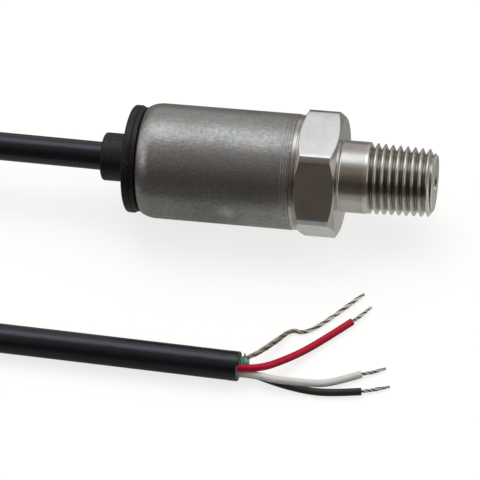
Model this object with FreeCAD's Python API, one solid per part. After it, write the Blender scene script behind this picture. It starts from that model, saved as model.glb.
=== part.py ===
import FreeCAD, Part
import math
import os

Vector = FreeCAD.Vector
os.makedirs("parts", exist_ok=True)

# Pressure transmitter with a tapered pipe-thread port, lying on its side. Millimetres, +Z up.
# +X runs along the body's axis and out of the port. The body rests on z = 0 on one wrench flat
# and along the can, and its bounding box without the cable is centred in X and Y.
# A station is a distance along the axis, counted from the tip of the port towards the cable.

body_length = 64.2                 # tip of the port to the end of the grommet; the can takes it up

# Pressure port, turned from one bar
thread_length = 12.4
thread_large_end_radius = 6.78     # crest radius where the thread runs out at the neck
thread_taper = 1 / 32              # crest radius lost in each millimetre towards the tip
tip_face_radius = 5.9
neck_length = 5.4
neck_radius = thread_large_end_radius + 0.07
neck_fillet = 0.45
hex_across_flats = 22.2
hex_corner_cut = 0.34              # turned off each of the hexagon's corners
hex_thickness = 7.65
hex_face_inset = 0.2               # the circle left on each hexagon face, in from the flats
hex_chamfer_angle = 30
land_length = 1.05
land_inset = 0.1                   # the land's step down from the can
spigot_length = 3.5
pedestal_length = 3.5
pedestal_radius = 4.5
bore_radius = 1.7
bore_chamfer = 0.3
diaphragm_thickness = 0.6

# Can, deep drawn, welded to the port's land
can_radius = 11.1
can_wall = 0.9
can_web = 1.2                      # closed end's thickness
can_hole_radius = 6.0
shoulder_length = 2.9
shoulder_drop = 0.9                # radius lost over the shoulder
spigot_clearance = 0.05

# Cable grommet and its gasket
gasket_thickness = 0.3
gasket_inset = 0.9                 # the gasket's edge, in from the flange's
flange_thickness = 2.45
flange_inset = 0.7                 # the flange's edge, in from the can's side
flange_bevel = 0.35
boss_length = 5.45
boss_radius = 4.65
boss_bevel = 0.35
plug_clearance = 0.1
lip_thickness = 1.4
lip_overlap = 1.2                  # how far the lip reaches past the can's hole
cable_clearance = 0.05

# Cable and the crimped ferrule that takes its pull
cable_radius = 2.75
ferrule_length = 1.5
ferrule_wall = 0.7
jacket_stub = 1.0                  # jacket left past the ferrule, inside the can

# Electronics
spacer_thickness = 0.5
ring_board_thickness = 1.0
ring_board_margin = 1.0            # between its edge and the can
ring_board_clearance = 0.2
carrier_ring_length = 2.5
carrier_clearance = 0.3
carrier_wall = 2.0
carrier_arm_width = 5.0
main_board_overhang = 2.5          # board left past the carrier's arms
main_board_inset = 1.0             # the board's edges, in from the carrier's outside
main_board_thickness = 1.6
slot_clearance = 0.05
pin_radius = 0.3
pin_reach_share = 0.3              # share of the main board's length that the pins lie on
pin_pitch = 1.2
pin_clearance = 0.05
gauge_length = 1.3
gauge_width = 0.5
gauge_thickness = 0.12
gauge_offset = 1.2
ribbon_thickness = 0.12
chip_length_share = 0.44           # share of the main board's length
chip_width = 4.0
chip_thickness = 1.4
chip_standoff = 0.15
chip_leg_width = 0.4
chip_leg_reach = 1.0
chip_legs_a_side = 4
regulator_length = 4.2
regulator_width = 3.4
regulator_thickness = 1.3
capacitor_length = 2.0
capacitor_width = 1.25
capacitor_thickness = 1.1
resistor_length = 1.6
resistor_width = 0.8
resistor_thickness = 0.45
parts_in_row = 4
pad_length = 1.6
pad_width = 1.5
pad_thickness = 0.12
pad_pitch = 2.2
pad_count = 3

# Wires
wire_radius = 0.69
conductor_radius = 0.33
drain_radius = 0.4
film_thickness = 0.12
film_radius = 2.0                  # inside radius of the film's curl
film_reach = 1.4
film_start_angle = 40
film_sweep_angle = 75
green_stub = Vector(2.2, 0.1, 0)   # the cut-off wire, from inside the jacket's end
inner_lead_gap = 3.4               # between the jacket's end and the main board
inner_lead_straight = 1.1          # an inner lead's straight run out of the jacket
inner_lead_setback = 1.0           # an inner lead's corner stands this far behind the board's edge
rest_gap = 0.02                    # what lies on the surface clears it by this

# Cable route. The lead leaves the grommet straight, comes down to the surface and goes into a
# flat coil of two layers. The coil's last turn leaves from the upper layer, comes down beside it
# and runs straight to the stripped end.
turn_pitch = 5.6
turns_outer_radius = 34.0
whole_turns = 4
coil_centre = Vector(-body_length / 2 - 69.1, -23.0, 0)
coil_entry_angle = 74
coil_exit_angle = 300
turns = whole_turns + (coil_exit_angle - coil_entry_angle) / 360
coil_margin = 0.25
entry_stub = 21.0                  # the part of the lead that belongs to the coil's solid
lead_corner_x = -body_length / 2 - 26.0
tail_corner = Vector(-body_length / 2 - 29.6, -39.45, cable_radius)
tail_end = Vector(1.0, -41.1, cable_radius)
corner_share = 0.45                # share of the shorter run that a corner's arc takes

# Stations
hex_front = thread_length + neck_length
hex_back = hex_front + hex_thickness
can_front = hex_back + land_length
spigot_back = can_front + spigot_length
pedestal_back = spigot_back + pedestal_length
boss_back = body_length
flange_back = boss_back - boss_length
flange_front = flange_back - flange_thickness
can_back = flange_front - gasket_thickness
web_front = can_back - can_web
lip_front = web_front - lip_thickness
ferrule_front = lip_front - ferrule_length
jacket_front = ferrule_front - jacket_stub
spacer_back = spigot_back + spacer_thickness
ring_board_back = spacer_back + ring_board_thickness
carrier_back = ring_board_back + carrier_ring_length
main_board_front = carrier_back
main_board_back = jacket_front - inner_lead_gap
pad_front = main_board_back - pad_length

# Lengths along the main board
main_board_length = main_board_back - main_board_front
carrier_arm_length = main_board_length - main_board_overhang
pin_reach = pin_reach_share * main_board_length
chip_length = chip_length_share * main_board_length
chip_leg_pitch = chip_length / (chip_legs_a_side + 1)
part_pitch = main_board_length / (parts_in_row + 1)

# Radii and widths
hex_corner_radius = hex_across_flats / math.sqrt(3) - hex_corner_cut
hex_face_radius = hex_across_flats / 2 - hex_face_inset
land_radius = can_radius - land_inset
flange_radius = can_radius - flange_inset
gasket_radius = flange_radius - gasket_inset
lip_radius = can_hole_radius + lip_overlap
can_inner_radius = can_radius - can_wall
spigot_radius = can_inner_radius - spigot_clearance
ring_board_radius = can_inner_radius - ring_board_margin
carrier_radius = can_inner_radius - carrier_clearance
main_board_width = 2 * (carrier_radius - main_board_inset)
board_hole_radius = pedestal_radius + ring_board_clearance
carrier_inner_radius = carrier_radius - carrier_wall

axis_height = max(hex_across_flats / 2, can_radius)
board_face = main_board_thickness / 2


def at(station, y=0.0, z=0.0):
    """A point given by its station and its offsets from the body's axis."""
    return Vector(body_length / 2 - station, y, axis_height + z)


def save(name, solids):
    """Write one node from one solid or from a list of separate solids."""
    shape = Part.makeCompound(solids) if isinstance(solids, list) else solids
    shape.exportStep("parts/" + name + ".step")
    print(name, "solids", len(shape.Solids), "valid", shape.isValid(), "volume", round(shape.Volume, 2))


def turned(edges):
    """Revolve a closed profile, drawn above the axis in the XZ plane, about the body's axis."""
    face = Part.Face(Part.Wire(edges))
    return face.revolve(at(0), Vector(1, 0, 0), 360)


def outline(points):
    """Straight edges through (station, radius) points, in order."""
    corners = [at(station, 0, radius) for station, radius in points]
    return [Part.makeLine(a, b) for a, b in zip(corners, corners[1:])]


def closed_outline(points):
    return outline(points + points[:1])


def arc_edge(start, middle, end):
    """An arc through three (station, radius) points."""
    return Part.Arc(*[at(station, 0, radius) for station, radius in (start, middle, end)]).toShape()


def ring(front, back, inner_radius, outer_radius):
    profile = [(front, inner_radius), (front, outer_radius), (back, outer_radius), (back, inner_radius)]
    return turned(closed_outline(profile))


def rod(front, back, radius, y=0.0, z=0.0):
    """A round bar along the axis direction, between two stations."""
    return Part.makeCylinder(radius, back - front, at(back, y, z), Vector(1, 0, 0))


def block(front, back, y_low, y_high, z_low, z_high):
    """A box between two stations."""
    corner = at(back, y_low, z_low)
    return Part.makeBox(back - front, y_high - y_low, z_high - z_low, corner)


# ---- Body ----

def crest_radius(station):
    return thread_large_end_radius - (thread_length - station) * thread_taper


def pressure_port():
    """Tapered stub, neck, hexagon, land, spigot and gauge pedestal in one piece, with a blind bore."""
    chamfer = crest_radius(0) - tip_face_radius
    fillet_centre = (hex_front - neck_fillet, neck_radius + neck_fillet)
    middle = neck_fillet * math.sqrt(0.5)
    fillet = arc_edge(
        (hex_front - neck_fillet, neck_radius),
        (fillet_centre[0] + middle, fillet_centre[1] - middle),
        (hex_front, neck_radius + neck_fillet),
    )
    stub = outline([
        (hex_front, 0), (0, 0), (0, tip_face_radius), (chamfer, crest_radius(chamfer)),
        (thread_length, crest_radius(thread_length)), (thread_length, neck_radius),
        (hex_front - neck_fillet, neck_radius),
    ])
    front = turned(stub + [fillet] + outline([(hex_front, neck_radius + neck_fillet), (hex_front, 0)]))

    # The hexagon is a prism cut back by one turned blank: both chamfers and the rounded corners
    slope = math.tan(math.radians(hex_chamfer_angle))
    corner_depth = (hex_corner_radius - hex_face_radius) * slope
    blank = turned(closed_outline([
        (hex_front, 0), (hex_front, hex_face_radius), (hex_front + corner_depth, hex_corner_radius),
        (hex_back - corner_depth, hex_corner_radius), (hex_back, hex_face_radius), (hex_back, 0),
    ]))
    corner_distance = hex_across_flats / math.sqrt(3)
    corners = [
        at(hex_back, corner_distance * math.cos(angle), corner_distance * math.sin(angle))
        for angle in [side * math.pi / 3 for side in range(7)]
    ]
    prism = Part.Face(Part.makePolygon(corners)).extrude(Vector(hex_thickness, 0, 0))
    hexagon = prism.common(blank)

    back = turned(closed_outline([
        (hex_back, 0), (hex_back, land_radius), (can_front, land_radius), (can_front, spigot_radius),
        (spigot_back, spigot_radius), (spigot_back, pedestal_radius), (pedestal_back, pedestal_radius),
        (pedestal_back, 0),
    ]))
    bore = turned(closed_outline([
        (0, 0), (0, bore_radius + bore_chamfer), (bore_chamfer, bore_radius),
        (pedestal_back - diaphragm_thickness, bore_radius), (pedestal_back - diaphragm_thickness, 0),
    ]))
    return front.fuse([hexagon, back]).cut(bore).removeSplitter()


def shoulder_arc_radius():
    return (shoulder_length ** 2 + shoulder_drop ** 2) / (2 * shoulder_drop)


def shoulder_point(station, inset):
    """A point of the shoulder's arc, or of the one a wall's thickness inside it."""
    arc_radius = shoulder_arc_radius()
    along = station - (can_back - shoulder_length)
    return station, can_radius - arc_radius + math.sqrt((arc_radius - inset) ** 2 - along ** 2)


def housing_can():
    """Tube with a drawn-in shoulder and a flat end with the grommet's hole."""
    shoulder_front = can_back - shoulder_length
    outer = [shoulder_point(shoulder_front + share * shoulder_length, 0) for share in (0, 0.5, 1)]
    inner_length = web_front - shoulder_front
    inner = [shoulder_point(shoulder_front + share * inner_length, can_wall) for share in (1, 0.5, 0)]
    edges = outline([(can_front, can_inner_radius), (can_front, can_radius), outer[0]])
    edges.append(arc_edge(*outer))
    edges += outline([outer[2], (can_back, can_hole_radius), (web_front, can_hole_radius), inner[0]])
    edges.append(arc_edge(*inner))
    edges += outline([inner[2], (can_front, can_inner_radius)])
    return turned(edges)


def cable_grommet():
    """Rubber moulding: a bevelled flange outside, a boss round the cable and a lip behind the web."""
    plug_radius = can_hole_radius - plug_clearance
    hole_radius = cable_radius + cable_clearance
    return turned(closed_outline([
        (lip_front, hole_radius), (lip_front, lip_radius), (web_front, lip_radius),
        (web_front, plug_radius), (flange_front, plug_radius), (flange_front, flange_radius - flange_bevel),
        (flange_front + flange_bevel, flange_radius), (flange_back - flange_bevel, flange_radius),
        (flange_back, flange_radius - flange_bevel), (flange_back, boss_radius),
        (boss_back - boss_bevel, boss_radius), (boss_back, boss_radius - boss_bevel),
        (boss_back, hole_radius),
    ]))


# ---- Gauges and boards ----

def both_sides():
    """The two signs, for what is mirrored across the axis."""
    return (-1, 1)


def strain_gauges():
    """Four gauge chips on the diaphragm, in two rows."""
    chips = []
    for side in both_sides():
        for row in both_sides():
            near = gauge_offset - gauge_length / 2
            far = gauge_offset + gauge_length / 2
            y_low, y_high = sorted((side * near, side * far))
            z = row * gauge_offset
            chips.append(block(pedestal_back, pedestal_back + gauge_thickness,
                               y_low, y_high, z - gauge_width / 2, z + gauge_width / 2))
    return chips


def gauge_ribbons():
    """Bent ribbons from the gauges, over the pedestal's edge, down to the ring board."""
    ribbons = []
    inner = gauge_offset + gauge_length / 2
    outer = board_hole_radius + ribbon_thickness
    for side in both_sides():
        for row in both_sides():
            z = row * gauge_offset
            points = [
                (pedestal_back, inner), (pedestal_back + ribbon_thickness, inner),
                (pedestal_back + ribbon_thickness, outer), (ring_board_back, outer),
                (ring_board_back, outer - ribbon_thickness), (pedestal_back, outer - ribbon_thickness),
            ]
            corners = [at(station, side * y, z - gauge_width / 2) for station, y in points]
            face = Part.Face(Part.makePolygon(corners + corners[:1]))
            ribbons.append(face.extrude(Vector(0, 0, gauge_width)))
    return ribbons


def pin_places():
    """Pin axes as (y, z): a pair each side, lying on the main board, between pedestal and carrier."""
    height = board_face + pin_radius + rest_gap
    middle = (board_hole_radius + carrier_inner_radius) / 2
    offsets = (middle - pin_pitch / 2, middle + pin_pitch / 2)
    return [(side * y, height) for side in both_sides() for y in offsets]


def ring_board():
    shape = ring(spacer_back, ring_board_back, board_hole_radius, ring_board_radius)
    for y, z in pin_places():
        shape = shape.cut(rod(spacer_back, ring_board_back, pin_radius + pin_clearance, y, z))
    return shape


def header_pins():
    front = spacer_back
    back = main_board_front + pin_reach
    return [rod(front, back, pin_radius, y, z) for y, z in pin_places()]


def board_carrier():
    """Moulded ring with two slotted arms that hold the main board by its edges."""
    base = ring(ring_board_back, carrier_back, carrier_inner_radius, carrier_radius)
    arm_back = carrier_back + carrier_arm_length
    sleeve = ring(carrier_back, arm_back, carrier_inner_radius, carrier_radius)
    band = block(carrier_back, arm_back, -carrier_radius, carrier_radius,
                 -carrier_arm_width / 2, carrier_arm_width / 2)
    slot_half = board_face + slot_clearance
    slot = block(carrier_back, arm_back, -carrier_radius, carrier_radius, -slot_half, slot_half)
    return base.fuse(sleeve.common(band).cut(slot)).removeSplitter()


def main_board():
    half = main_board_width / 2
    return block(main_board_front, main_board_back, -half, half, -board_face, board_face)


def amplifier_chip():
    """Chip body with a row of bent legs each side, one solid."""
    middle = main_board_front + pin_reach + chip_length / 2
    bottom = board_face + chip_standoff
    half_width = chip_width / 2
    shape = block(middle - chip_length / 2, middle + chip_length / 2,
                  -half_width, half_width, bottom, bottom + chip_thickness)
    shoulder = bottom + chip_thickness / 2
    foot_outer = half_width + chip_leg_reach
    foot_inner = half_width + chip_leg_reach / 2
    for side in both_sides():
        for k in range(chip_legs_a_side):
            station = middle + (k - (chip_legs_a_side - 1) / 2) * chip_leg_pitch
            bend = foot_inner + chip_standoff
            points = [
                (0, shoulder), (foot_inner, shoulder), (foot_inner, board_face),
                (foot_outer, board_face), (foot_outer, bottom), (bend, bottom),
                (bend, shoulder + chip_standoff), (0, shoulder + chip_standoff),
            ]
            corners = [at(station - chip_leg_width / 2, side * y, z) for y, z in points]
            face = Part.Face(Part.makePolygon(corners + corners[:1]))
            shape = shape.fuse(face.extrude(Vector(-chip_leg_width, 0, 0)))
    return shape.removeSplitter()


def regulator_chip():
    """Flat chip on the underside of the main board."""
    middle = main_board_front + main_board_length / 2
    return block(middle - regulator_length / 2, middle + regulator_length / 2,
                 -regulator_width / 2, regulator_width / 2,
                 -board_face - regulator_thickness, -board_face)


def small_parts(y, length, width, thickness):
    """A row of small parts soldered on the main board's underside, each across the axis."""
    parts = []
    for k in range(parts_in_row):
        station = main_board_front + (k + 1) * part_pitch - width / 2
        parts.append(block(station, station + width, y - length / 2, y + length / 2,
                           -board_face - thickness, -board_face))
    return parts


def part_row_offset():
    """Distance from the axis to the rows of small parts, clear of the regulator and the arms."""
    return (regulator_width / 2 + carrier_inner_radius) / 2


def pad_places():
    return [(k - (pad_count - 1) / 2) * pad_pitch for k in range(pad_count)]


def wire_pads():
    return [
        block(pad_front, main_board_back, y - pad_width / 2, y + pad_width / 2,
              board_face, board_face + pad_thickness)
        for y in pad_places()
    ]


# ---- Wires and cable ----

def rounded_route(points):
    """Edges of straight runs joined by tangent arcs, and the radii of those arcs."""
    edges = []
    radii = []
    start = points[0]
    for before, corner, after in zip(points, points[1:], points[2:]):
        run_in = corner - before
        run_out = after - corner
        half_turn = run_in.getAngle(run_out) / 2
        setback = corner_share * min(run_in.Length, run_out.Length)
        radius = setback / math.tan(half_turn)
        run_in.normalize()
        run_out.normalize()
        arc_start = corner - run_in * setback
        arc_end = corner + run_out * setback
        inward = run_out - run_in
        inward.normalize()
        arc_middle = corner + inward * (radius / math.cos(half_turn) - radius)
        edges.append(Part.LineSegment(start, arc_start).toShape())
        edges.append(Part.Arc(arc_start, arc_middle, arc_end).toShape())
        radii.append(radius)
        start = arc_end
    edges.append(Part.LineSegment(start, points[-1]).toShape())
    return edges, radii


def tube(edges, radius, name):
    """A solid round bar along tangent edges. Its volume is compared with section times length."""
    path = Part.Wire(edges)
    start = path.Edges[0].valueAt(path.Edges[0].FirstParameter)
    direction = path.Edges[0].tangentAt(path.Edges[0].FirstParameter)
    circle = Part.Wire([Part.makeCircle(radius, start, direction)])
    shape = path.makePipeShell([circle], True, False)
    expected = math.pi * radius ** 2 * path.Length
    print(name, "length", round(path.Length, 1), "volume over section times length",
          round(shape.Volume / expected, 4))
    return shape


def routed(points, radius, name):
    edges, radii = rounded_route(points)
    print(name, "arc radii in diameters", [round(r / (2 * radius), 1) for r in radii])
    return tube(edges, radius, name)


def coil_point(angle, height):
    radians = math.radians(angle)
    return Vector(coil_centre.x + turns_outer_radius * math.cos(radians),
                  coil_centre.y + turns_outer_radius * math.sin(radians), height)


lower_layer = cable_radius + coil_margin
upper_layer = lower_layer + turn_pitch


def cable_lead_and_coil():
    """The lead's tube, the coil's solid with both of its ends, and the straight tail."""
    exit_point = at(boss_back)
    entry_point = coil_point(coil_entry_angle, lower_layer)
    lead_corner = Vector(lead_corner_x, 0, axis_height)
    lead_edges, lead_radii = rounded_route([exit_point, lead_corner, entry_point])
    print("cable_lead arc radii in diameters", [round(r / (2 * cable_radius), 1) for r in lead_radii])
    arc_end = lead_edges[1].valueAt(lead_edges[1].LastParameter)
    backwards = arc_end - entry_point
    backwards.normalize()
    split = entry_point + backwards * entry_stub
    lead = tube(lead_edges[:2] + [Part.LineSegment(arc_end, split).toShape()], cable_radius, "cable_lead")
    inlet = tube([Part.LineSegment(split, entry_point).toShape()], cable_radius, "coil inlet")

    exit_route = [coil_point(coil_exit_angle, upper_layer), tail_corner, tail_end]
    tail_edges, tail_radii = rounded_route(exit_route)
    print("cable_tail arc radii in diameters", [round(r / (2 * cable_radius), 1) for r in tail_radii])
    outlet = tube(tail_edges[:2], cable_radius, "coil outlet")
    tail = tube(tail_edges[2:], cable_radius, "cable_tail")

    # Two flat spirals, one on the other: the outer shape is a ring with rounded edges
    outer = turns_outer_radius + cable_radius + coil_margin
    inner = turns_outer_radius - turn_pitch * turns / 2 - cable_radius - coil_margin
    top = upper_layer + cable_radius + coil_margin
    body = Part.makeCylinder(outer, top, coil_centre).cut(Part.makeCylinder(inner, top, coil_centre))
    rims = [edge for edge in body.Edges if isinstance(edge.Curve, Part.Circle)]
    body = body.makeFillet(cable_radius, rims)
    coil = body.fuse([inlet, outlet]).removeSplitter()
    return lead, coil, tail


def tail_directions():
    """The tail's direction and the one square to it, level."""
    along = tail_end - tail_corner
    along.normalize()
    return along, Vector(-along.y, along.x, 0)


def core_place(sideways, height):
    """Where a wire leaves the jacket's end: offsets from the cable's centre line, just inside the end."""
    along, across = tail_directions()
    return tail_end - along * wire_radius + across * sideways + Vector(0, 0, height)


def insulation_film():
    """A curl of the clear film that wraps the cores, left standing inside the jacket's rim."""
    along, across = tail_directions()
    start = math.radians(film_start_angle)
    outward = across * math.cos(start) + Vector(0, 0, math.sin(start))
    inner = tail_end + outward * film_radius
    outer = inner + outward * film_thickness
    corners = [inner, outer, outer + along * film_reach, inner + along * film_reach, inner]
    return Part.Face(Part.makePolygon(corners)).revolve(tail_end, along, film_sweep_angle)


def inner_lead(colour, jacket_offsets, pad_y):
    """A lead inside the can, from the jacket's end to its pad on the main board."""
    y, z = jacket_offsets
    pad_height = board_face + pad_thickness + wire_radius + rest_gap
    points = [
        at(jacket_front + wire_radius, y, z), at(jacket_front - inner_lead_straight, y, z),
        at(main_board_back + inner_lead_setback, pad_y, pad_height), at(pad_front, pad_y, pad_height),
    ]
    return routed(points, wire_radius, colour + "_inner_lead")


def wire_routes():
    """For each stripped wire, its route from the jacket's end and its bare conductor's points."""
    low = wire_radius + rest_gap
    tip = conductor_radius + rest_gap
    return {
        "red": (
            [core_place(-0.85, 0.75), Vector(4.3, -42.15, 3.5), Vector(9.7, -37.2, 1.5),
             Vector(14.2, -32.6, low), Vector(19.7, -26.7, low)],
            [Vector(21.2, -24.9, 0.5), Vector(22.7, -22.5, tip)]),
        "white": (
            [core_place(-1.05, -0.68), Vector(5.0, -42.1, 1.95), Vector(7.5, -42.95, 2.3),
             Vector(14.0, -42.8, 2.05), Vector(16.9, -41.85, 1.0), Vector(20.6, -40.0, low),
             Vector(23.2, -38.65, low)],
            [Vector(25.5, -37.75, 0.5), Vector(27.4, -36.5, tip)]),
        "black": (
            [core_place(0.1, -1.5), Vector(3.1, -40.85, low), Vector(8.6, -42.65, low),
             Vector(14.5, -43.7, low), Vector(19.2, -43.45, low), Vector(23.8, -42.55, low)],
            [Vector(26.2, -41.7, 0.5), Vector(28.7, -40.6, tip)]),
    }


def drain_route():
    low = drain_radius + rest_gap
    return [
        core_place(1.5, 0.0), Vector(2.8, -38.9, 2.7), Vector(6.6, -33.0, 1.0), Vector(9.8, -29.9, low),
        Vector(12.4, -29.85, low), Vector(15.8, -25.9, low), Vector(20.9, -19.6, low),
    ]


def main():
    nodes = {
        "pressure_port": pressure_port(),
        "housing_can": housing_can(),
        "cable_grommet": cable_grommet(),
        "grommet_gasket": ring(can_back, flange_front, can_hole_radius + plug_clearance, gasket_radius),
        "cable_inner_end": rod(jacket_front, boss_back, cable_radius),
        "cable_ferrule": ring(ferrule_front, lip_front, cable_radius + cable_clearance,
                              cable_radius + cable_clearance + ferrule_wall),
        "strain_gauges": strain_gauges(),
        "gauge_ribbons": gauge_ribbons(),
        "ring_board_spacer": ring(spigot_back, spacer_back, board_hole_radius, ring_board_radius),
        "ring_board": ring_board(),
        "board_carrier": board_carrier(),
        "header_pins": header_pins(),
        "main_board": main_board(),
        "amplifier_chip": amplifier_chip(),
        "regulator_chip": regulator_chip(),
        "wire_pads": wire_pads(),
    }
    nodes["ceramic_capacitors"] = small_parts(part_row_offset(), capacitor_length, capacitor_width,
                                              capacitor_thickness)
    nodes["chip_resistors"] = small_parts(-part_row_offset(), resistor_length, resistor_width,
                                          resistor_thickness)

    jacket_places = {"red": (-1.2, 0.35), "white": (0.0, 1.2), "black": (1.2, 0.35)}
    for (colour, offsets), pad_y in zip(jacket_places.items(), pad_places()):
        nodes[colour + "_inner_lead"] = inner_lead(colour, offsets, pad_y).cut(nodes["cable_inner_end"])

    # The cable, and the wires at its end, each trimmed to the piece that it comes out of
    nodes["cable_lead"], nodes["cable_coil"], nodes["cable_tail"] = cable_lead_and_coil()
    jacket = nodes["cable_tail"]
    for colour, (points, tips) in wire_routes().items():
        wire = routed(points, wire_radius, colour + "_wire").cut(jacket)
        conductor = routed([points[-1]] + tips, conductor_radius, colour + "_conductor")
        nodes[colour + "_wire"] = wire
        nodes[colour + "_conductor"] = conductor.cut(wire)
    green_start = core_place(0.55, 0.6)
    green_edges = [Part.LineSegment(green_start, green_start + green_stub).toShape()]
    nodes["green_wire_stub"] = tube(green_edges, wire_radius, "green_wire_stub").cut(jacket)
    nodes["insulation_film"] = insulation_film()
    nodes["drain_wire"] = routed(drain_route(), drain_radius, "drain_wire").cut(jacket)

    for name, solids in nodes.items():
        save(name, solids)


main()
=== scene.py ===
import bpy
import bmesh
import math
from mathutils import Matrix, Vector, noise


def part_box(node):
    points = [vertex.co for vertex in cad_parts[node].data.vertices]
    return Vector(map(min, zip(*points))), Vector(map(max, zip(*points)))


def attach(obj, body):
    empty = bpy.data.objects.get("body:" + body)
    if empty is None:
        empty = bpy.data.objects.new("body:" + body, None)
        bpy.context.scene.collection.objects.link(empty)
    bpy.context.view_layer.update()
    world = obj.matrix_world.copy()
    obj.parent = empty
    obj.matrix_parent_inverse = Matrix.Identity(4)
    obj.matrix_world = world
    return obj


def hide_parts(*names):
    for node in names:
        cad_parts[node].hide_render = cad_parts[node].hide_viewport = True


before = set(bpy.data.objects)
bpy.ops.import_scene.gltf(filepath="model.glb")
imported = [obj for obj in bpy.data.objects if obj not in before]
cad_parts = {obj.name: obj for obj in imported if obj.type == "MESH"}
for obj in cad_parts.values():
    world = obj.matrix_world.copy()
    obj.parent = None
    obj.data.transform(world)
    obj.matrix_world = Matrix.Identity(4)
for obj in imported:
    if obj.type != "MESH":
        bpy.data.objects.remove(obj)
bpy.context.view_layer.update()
scene = bpy.context.scene
print("frame loaded")

# places that everything else is worked out from
portLow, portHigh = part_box("pressure_port")
canLow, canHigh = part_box("housing_can")
grommetLow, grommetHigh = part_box("cable_grommet")
gasketLow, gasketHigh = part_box("grommet_gasket")
tipX = portHigh[0]
axisHeight = (portLow[2] + portHigh[2]) / 2
acrossFlats = portHigh[2] - portLow[2]
hexCornerRadius = (portHigh[1] - portLow[1]) / 2
canRadius = (canHigh[1] - canLow[1]) / 2


# shared node groups: they give masks and heights for the materials below
def feed(tree, node, inputs):
    # gives each input, by name or number, a constant or another node's output
    for key, value in inputs.items():
        if isinstance(value, bpy.types.NodeSocket):
            tree.links.new(value, node.inputs[key])
        else:
            node.inputs[key].default_value = value


def addNode(tree, kind, inputs=None, **settings):
    node = tree.nodes.new(kind)
    for key, value in settings.items():
        setattr(node, key, value)
    feed(tree, node, inputs or {})
    return node


def addMath(tree, operation, first, second=None):
    inputs = {0: first} if second is None else {0: first, 1: second}
    return addNode(tree, "ShaderNodeMath", inputs, operation=operation).outputs[0]


def addNoise(tree, vector, scale, detail=3.0, roughness=0.5):
    inputs = {"Vector": vector, "Scale": scale, "Detail": detail, "Roughness": roughness}
    return addNode(tree, "ShaderNodeTexNoise", inputs).outputs["Fac"]


def addRange(tree, value, reach=(0.0, 1.0), result=(0.0, 1.0), curve="LINEAR"):
    inputs = {"Value": value, "From Min": reach[0], "From Max": reach[1], "To Min": result[0],
              "To Max": result[1]}
    return addNode(tree, "ShaderNodeMapRange", inputs, interpolation_type=curve).outputs["Result"]


def splitPlace(tree, place):
    return addNode(tree, "ShaderNodeSeparateXYZ", {0: place}).outputs


def addRadius(tree, split):
    # distance from the body's axis
    up = addMath(tree, "SUBTRACT", split["Z"], axisHeight)
    square = addMath(tree, "ADD", addMath(tree, "MULTIPLY", split["Y"], split["Y"]),
                     addMath(tree, "MULTIPLY", up, up))
    return addMath(tree, "SQRT", square)


def startGroup(name, values, results):
    # every group takes a position and the named values, and gives the named results
    group = bpy.data.node_groups.new(name, "ShaderNodeTree")
    group.interface.new_socket(name="Position", in_out="INPUT", socket_type="NodeSocketVector")
    for key, value in values.items():
        socket = group.interface.new_socket(name=key, in_out="INPUT", socket_type="NodeSocketFloat")
        socket.default_value = value
    for key in results:
        group.interface.new_socket(name=key, in_out="OUTPUT", socket_type="NodeSocketFloat")
    return group, group.nodes.new("NodeGroupInput").outputs, group.nodes.new("NodeGroupOutput")


def makeTurnLines():
    # rings cut by a lathe tool: they follow the station on the sides and the radius on the faces
    group, given, end = startGroup("turnLines", {"Scale": 9000.0}, ["Height"])
    split = splitPlace(group, given["Position"])
    rings = addNode(group, "ShaderNodeCombineXYZ", {"X": split["X"], "Y": addRadius(group, split)})
    feed(group, end, {"Height": addNoise(group, rings.outputs[0], given["Scale"], detail=2.0)})
    return group


def makeBrushLines():
    # long scratches along the body's axis
    group, given, end = startGroup("brushLines", {"Scale": 2500.0, "Length": 12.0}, ["Height"])
    split = splitPlace(group, given["Position"])
    shortened = addMath(group, "DIVIDE", split["X"], given["Length"])
    lines = addNode(group, "ShaderNodeCombineXYZ", {"X": shortened, "Y": split["Y"], "Z": split["Z"]})
    height = addNoise(group, lines.outputs[0], given["Scale"], detail=4.0, roughness=0.65)
    feed(group, end, {"Height": height})
    return group


def makeCloudStains():
    # soft uneven patches, 0 clean and 1 stained
    group, given, end = startGroup("cloudStains", {"Scale": 150.0, "Low": 0.4, "High": 0.65}, ["Mask"])
    cloud = addNoise(group, given["Position"], given["Scale"], detail=5.0, roughness=0.6)
    feed(group, end, {"Mask": addRange(group, cloud, (given["Low"], given["High"]))})
    return group


def makeFineGrain():
    # moulded or drawn plastic: small uneven pits, with a sparse bright speckle
    group, given, end = startGroup("fineGrain", {"Scale": 4000.0}, ["Height", "Speckle"])
    grain = addNoise(group, given["Position"], given["Scale"], detail=2.0)
    coarse = addNoise(group, given["Position"], addMath(group, "MULTIPLY", given["Scale"], 0.6), detail=0.0)
    feed(group, end, {"Height": grain, "Speckle": addRange(group, coarse, (0.71, 0.78))})
    return group


def makeGrooveShadeDepth():
    # how deep a point of the tapered thread lies, as the mask of the painted shade in the grooves: 0 at the
    # crests, 1 at the roots, and 0 again by the tip
    values = {"Tip Radius": 0.0064, "Taper": 0.03125, "Depth": 0.001, "Unshaded Tip": 0.001}
    group, given, end = startGroup("grooveShadeDepth", values, ["Mask"])
    split = splitPlace(group, given["Position"])
    station = addMath(group, "SUBTRACT", tipX, split["X"])
    crest = addMath(group, "ADD", given["Tip Radius"], addMath(group, "MULTIPLY", station, given["Taper"]))
    below = addMath(group, "SUBTRACT", crest, addRadius(group, split))
    share = addNode(group, "ShaderNodeClamp", {"Value": addMath(group, "DIVIDE", below, given["Depth"])})
    inside = addNode(group, "ShaderNodeClamp",
                     {"Value": addMath(group, "DIVIDE", station, given["Unshaded Tip"])})
    feed(group, end, {"Mask": addMath(group, "MULTIPLY", share.outputs[0], inside.outputs[0])})
    return group


turnLines = makeTurnLines()
grooveShadeDepth = makeGrooveShadeDepth()
brushLines = makeBrushLines()
cloudStains = makeCloudStains()
fineGrain = makeFineGrain()
print("node groups built")
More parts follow.
